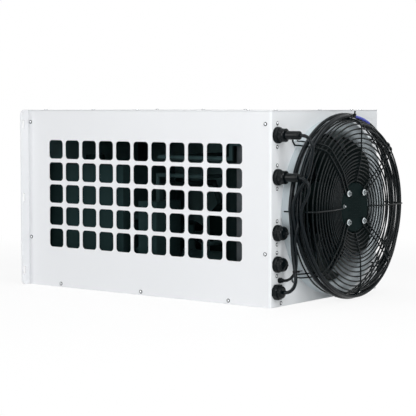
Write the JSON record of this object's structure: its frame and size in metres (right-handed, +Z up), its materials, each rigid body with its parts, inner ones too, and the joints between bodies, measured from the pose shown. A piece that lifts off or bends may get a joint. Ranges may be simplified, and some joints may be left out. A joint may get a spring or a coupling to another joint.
{
  "type": "industrial water chiller",
  "caption": "Air-cooled water chiller in a white sheet-metal case: slotted mounting plate, perforated side, ducted axial fan with a dished wire guard, cables wound round the guard.",
  "frame": {"origin": "on the floor, under the middle of the unit from the port ends to the guard front", "axes": "+X along the case from the mounting plate to the fan, +Y from the perforated side to the plain side, +Z up"},
  "size_m": [0.8855, 0.504, 0.4424],
  "materials": {
    "case_paint": "fine white powder coat",
    "fan_end_paint": "light grey powder coat",
    "galvanised": "plain galvanised sheet",
    "screw_steel": "zinc-plated",
    "shroud_steel": "galvanised, soft sheen",
    "guard_black": "black coated wire",
    "motor_black": "black coated casting",
    "blade_black": "black coated sheet, matt",
    "bearing_steel": "ground steel",
    "winding_copper": "lacquered windings",
    "plug_black": "moulded, slight sheen",
    "cable_black": "smooth cable jacket",
    "fin_aluminium": "mill finish",
    "pipe_copper": "drawn copper",
    "compressor_black": "satin black enamel",
    "grommet_rubber": "soft rubber",
    "tank_steel": "plain stainless sheet",
    "pump_iron": "painted casting",
    "exchanger_steel": "brazed stainless plates",
    "hose_rubber": "braided hose cover",
    "board_green": "circuit board laminate",
    "port_brass": "turned brass"
  },
  "bodies": {
    "case": {"base_tray": "galvanised", "mounting_plate": "case_paint", "top_cover": "case_paint", "perforated_panel": "case_paint", "far_panel": "case_paint", "fan_panel": "fan_end_paint", "corner_posts": "galvanised", "side_screws": "screw_steel", "top_screws": "screw_steel", "face_screws": "screw_steel", "fan_shroud": "shroud_steel", "guard_rings": "guard_black", "guard_wires": "guard_black", "guard_screws": "screw_steel", "motor_bolts": "screw_steel", "motor_flange": "motor_black", "stator_pack": "winding_copper", "motor_bearings": "bearing_steel", "sockets": "plug_black", "plug_body_1": "plug_black", "plug_body_2": "plug_black", "small_gland": "plug_black", "large_gland": "plug_black", "lead_turns": "cable_black", "lead_out": "cable_black", "lead_in": "cable_black", "signal_turns": "cable_black", "signal_out": "cable_black", "signal_in": "cable_black", "condenser_fins": "fin_aluminium", "condenser_tubes": "pipe_copper", "condenser_end_plates": "galvanised", "partition": "galvanised", "compressor_can": "compressor_black", "compressor_grommets": "grommet_rubber", "water_tank": "tank_steel", "tank_lid": "plug_black", "pump_motor": "pump_iron", "pump_head": "pump_iron", "heat_exchanger": "exchanger_steel", "filter_drier": "pipe_copper", "control_case": "plug_black", "circuit_board": "board_green", "refrigerant_pipes": "pipe_copper", "water_hoses": "hose_rubber", "hose_ports": "port_brass", "port_nuts": "port_brass"},
    "fan_rotor": {"motor_shaft": "bearing_steel", "rotor_bell": "motor_black", "fan_blades": "blade_black"},
    "coupling_ring_1": {"plug_ring_1": "plug_black"},
    "coupling_ring_2": {"plug_ring_2": "plug_black"},
    "screw_cap_3": {"dust_cap_3": "plug_black"},
    "screw_cap_4": {"dust_cap_4": "plug_black"}
  },
  "joints": [
    {"name": "fan_spin", "type": "hinge", "parent": "case", "child": "fan_rotor", "pos_m": [0.35213, 0.0195, 0.215], "axis": [1, 0, 0], "continuous": true},
    {"name": "coupling_ring_1_turn", "type": "hinge", "parent": "case", "child": "coupling_ring_1", "pos_m": [0.37213, -0.203, 0.385], "axis": [1, 0, 0], "range_deg": [0, 120]},
    {"name": "coupling_ring_2_turn", "type": "hinge", "parent": "case", "child": "coupling_ring_2", "pos_m": [0.37213, -0.203, 0.2915], "axis": [1, 0, 0], "range_deg": [0, 120]},
    {"name": "screw_cap_3_turn", "type": "hinge", "parent": "case", "child": "screw_cap_3", "pos_m": [0.37213, -0.203, 0.167], "axis": [1, 0, 0], "range_deg": [0, 120]},
    {"name": "screw_cap_4_turn", "type": "hinge", "parent": "case", "child": "screw_cap_4", "pos_m": [0.37213, -0.203, 0.0965], "axis": [1, 0, 0], "range_deg": [0, 120]}
  ]
}
